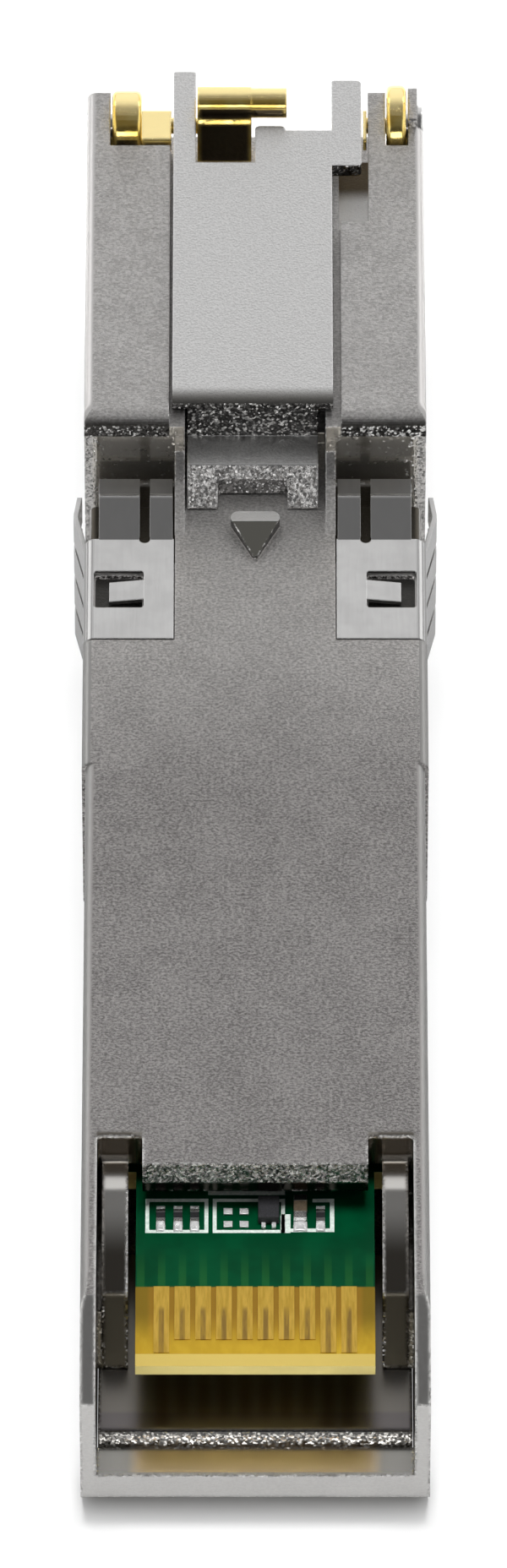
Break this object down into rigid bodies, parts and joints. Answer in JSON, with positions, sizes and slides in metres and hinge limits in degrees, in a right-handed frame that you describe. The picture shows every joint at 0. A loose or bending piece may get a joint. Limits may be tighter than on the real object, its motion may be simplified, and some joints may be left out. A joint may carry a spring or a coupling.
{
  "type": "copper sfp module",
  "caption": "Pluggable copper network transceiver: die-cast metal shell with card-edge tail, spring collar, latch slide, gold bail lever and modular jack nose.",
  "frame": {"origin": "middle of the footprint under the part as it lies latch side up, on the plane of the nose's label-side face", "axes": "X across the width, +Y toward the jack nose, +Z toward the latch side"},
  "size_m": [0.0146, 0.0672, 0.0151],
  "materials": {
    "cast_nickel": "satin nickel plating over a grainy zinc die casting",
    "slide_nickel": "fine satin nickel plating",
    "spring_steel": "smooth bright stamped spring sheet",
    "bail_gold": "polished gold-tone plating",
    "pin_steel": "polished steel",
    "circuit_board": "green solder mask over glass-epoxy laminate, bare and yellow at the card edge",
    "contact_gold": "hard gold plating",
    "tin_solder": "bright solder",
    "black_epoxy": "matt moulded epoxy",
    "tan_ceramic": "ceramic body with tinned ends",
    "gap_pad": "soft heat-conducting pad",
    "black_plastic": "matt moulded plastic"
  },
  "bodies": {
    "module": {"base_housing": "cast_nickel", "top_cover": "cast_nickel", "emi_collar": "spring_steel", "bail_pins": "pin_steel", "main_board": "circuit_board", "edge_contacts": "contact_gold", "solder_pads": "tin_solder", "chip_resistors": "black_epoxy", "sot_package": "black_epoxy", "chip_capacitor": "tan_ceramic", "phy_chip": "black_epoxy", "thermal_pad": "gap_pad", "transformer_block": "black_epoxy", "clock_crystal": "pin_steel", "memory_chip": "black_epoxy", "power_inductor": "black_epoxy", "jack_insert": "black_plastic", "jack_contacts": "contact_gold"},
    "slide": {"latch_slide": "slide_nickel"},
    "bail": {"release_bail": "bail_gold"}
  },
  "joints": [
    {"name": "bail_hinge", "type": "hinge", "parent": "module", "child": "bail", "pos_m": [0, 0.03075, 0.01315], "axis": [1, 0, 0], "range_deg": [0, 90]},
    {"name": "latch_travel", "type": "slide", "parent": "module", "child": "slide", "axis": [0, -1, 0], "range_m": [0, 0.00125]}
  ],
  "couplings": [
    {"joint": "bail_hinge", "follows": "latch_travel", "rad_per_m": 1256}
  ]
}
